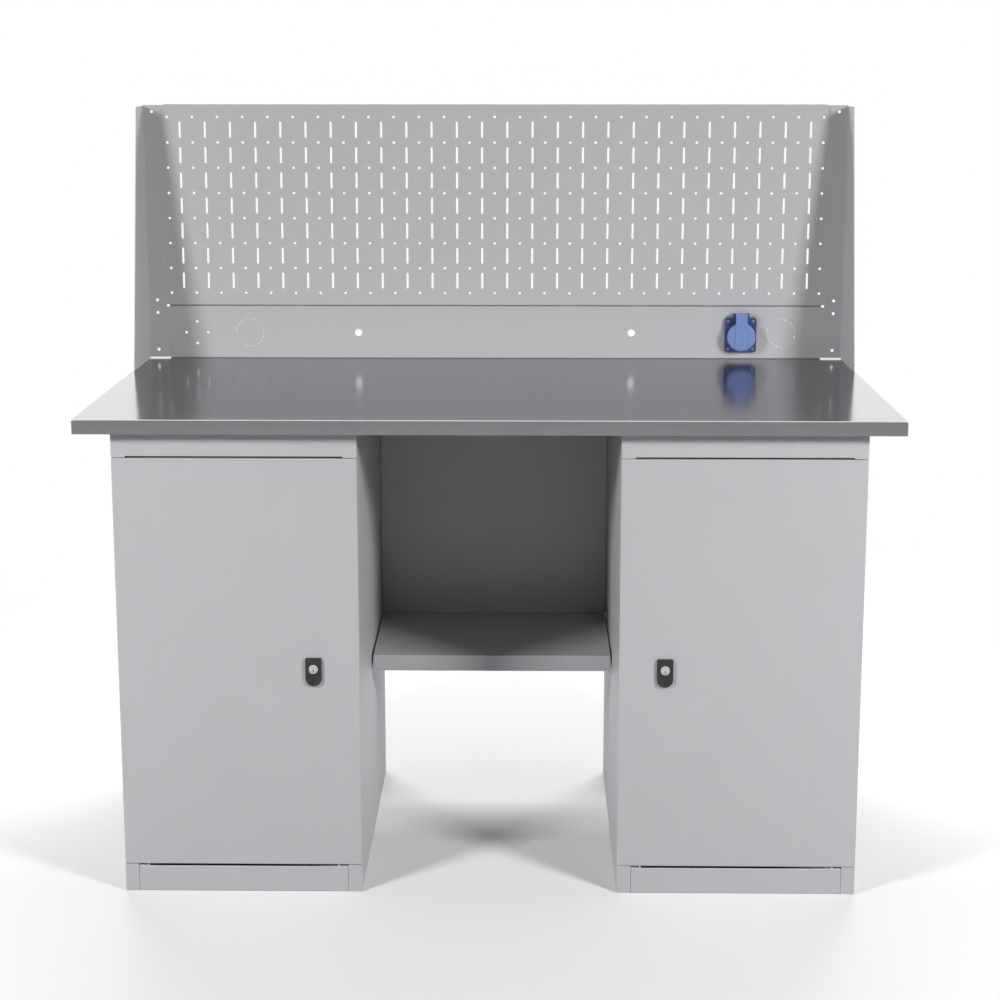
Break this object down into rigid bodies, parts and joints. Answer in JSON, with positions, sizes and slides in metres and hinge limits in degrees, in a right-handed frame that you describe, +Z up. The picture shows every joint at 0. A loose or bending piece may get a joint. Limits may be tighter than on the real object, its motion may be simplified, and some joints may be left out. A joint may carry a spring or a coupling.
{
  "type": "workbench with cabinet doors",
  "caption": "Steel workbench: clad worktop on cupboard pedestals with hinged, locking doors, a knee-space shelf, and a perforated tool screen whose lower rail carries a lidded power socket.",
  "frame": {"origin": "on the floor, under the middle of the worktop", "axes": "+X to the bench's right as seen from the front, +Y to the back, +Z up"},
  "size_m": [1.4, 0.7, 1.3574],
  "materials": {
    "grey_paint": "light grey powder coat, satin, fine orange peel",
    "worktop_steel": "zinc-coated sheet, fine rolled lines",
    "board": "raw board core",
    "black_plastic": "moulded, satin",
    "bright_metal": "plated lock cylinder",
    "zinc_steel": "zinc plated",
    "dark_blue": "moulded, semi-gloss",
    "light_blue": "moulded, semi-gloss",
    "blue_insert": "moulded, satin"
  },
  "bodies": {
    "frame": {"back_panel_left": "grey_paint", "back_panel_right": "grey_paint", "bracket_left": "grey_paint", "bracket_right": "grey_paint", "cabinet_shelf_left": "grey_paint", "cabinet_shelf_right": "grey_paint", "floor_pan_left": "grey_paint", "floor_pan_right": "grey_paint", "knee_shelf": "grey_paint", "modesty_panel": "grey_paint", "modesty_screw_left": "zinc_steel", "modesty_screw_right": "zinc_steel", "perforated_panel": "grey_paint", "plinth_left": "grey_paint", "plinth_right": "grey_paint", "rail_bolt_left": "zinc_steel", "rail_bolt_right": "zinc_steel", "shelf_bolt_left_front": "zinc_steel", "shelf_bolt_left_rear": "zinc_steel", "shelf_bolt_right_front": "zinc_steel", "shelf_bolt_right_rear": "zinc_steel", "shelf_runner_inner_left": "grey_paint", "shelf_runner_inner_right": "grey_paint", "shelf_runner_outer_left": "grey_paint", "shelf_runner_outer_right": "grey_paint", "side_inner_left": "grey_paint", "side_inner_right": "grey_paint", "side_outer_left": "grey_paint", "side_outer_right": "grey_paint", "socket_housing": "dark_blue", "socket_insert": "blue_insert", "socket_lid_pin": "zinc_steel", "socket_rail": "grey_paint", "top_panel_left": "grey_paint", "top_panel_right": "grey_paint", "top_rail_left": "grey_paint", "top_rail_right": "grey_paint", "worktop_bolt_left_front": "zinc_steel", "worktop_bolt_left_rear": "zinc_steel", "worktop_bolt_right_front": "zinc_steel", "worktop_bolt_right_rear": "zinc_steel", "worktop_core": "board", "worktop_cover": "worktop_steel"},
    "left_door": {"door_left": "grey_paint", "door_stiffener_left": "grey_paint", "hinge_pin_top_left": "zinc_steel", "hinge_pin_bottom_left": "zinc_steel", "lock_plate_left": "black_plastic", "lock_nut_left": "zinc_steel"},
    "left_lock": {"lock_cylinder_left": "bright_metal", "lock_cam_left": "zinc_steel"},
    "right_door": {"door_right": "grey_paint", "door_stiffener_right": "grey_paint", "hinge_pin_top_right": "zinc_steel", "hinge_pin_bottom_right": "zinc_steel", "lock_plate_right": "black_plastic", "lock_nut_right": "zinc_steel"},
    "right_lock": {"lock_cylinder_right": "bright_metal", "lock_cam_right": "zinc_steel"},
    "lid": {"socket_lid": "light_blue"}
  },
  "joints": [
    {"name": "left_door_hinge", "type": "hinge", "parent": "frame", "child": "left_door", "pos_m": [-0.635, -0.315, 0.4145], "axis": [0, 0, -1], "range_deg": [0, 100]},
    {"name": "right_door_hinge", "type": "hinge", "parent": "frame", "child": "right_door", "pos_m": [0.635, -0.315, 0.4145], "axis": [0, 0, 1], "range_deg": [0, 100]},
    {"name": "left_lock_turn", "type": "hinge", "parent": "left_door", "child": "left_lock", "pos_m": [-0.303, -0.31, 0.409], "axis": [0, -1, 0], "range_deg": [0, 90]},
    {"name": "right_lock_turn", "type": "hinge", "parent": "right_door", "child": "right_lock", "pos_m": [0.303, -0.31, 0.409], "axis": [0, 1, 0], "range_deg": [0, 90]},
    {"name": "socket_lid_hinge", "type": "hinge", "parent": "frame", "child": "lid", "pos_m": [0.494, 0.313, 0.939], "axis": [-1, 0, 0], "range_deg": [0, 110], "stiffness_Nm_per_rad": 0.02, "springref_deg": -17.19}
  ]
}
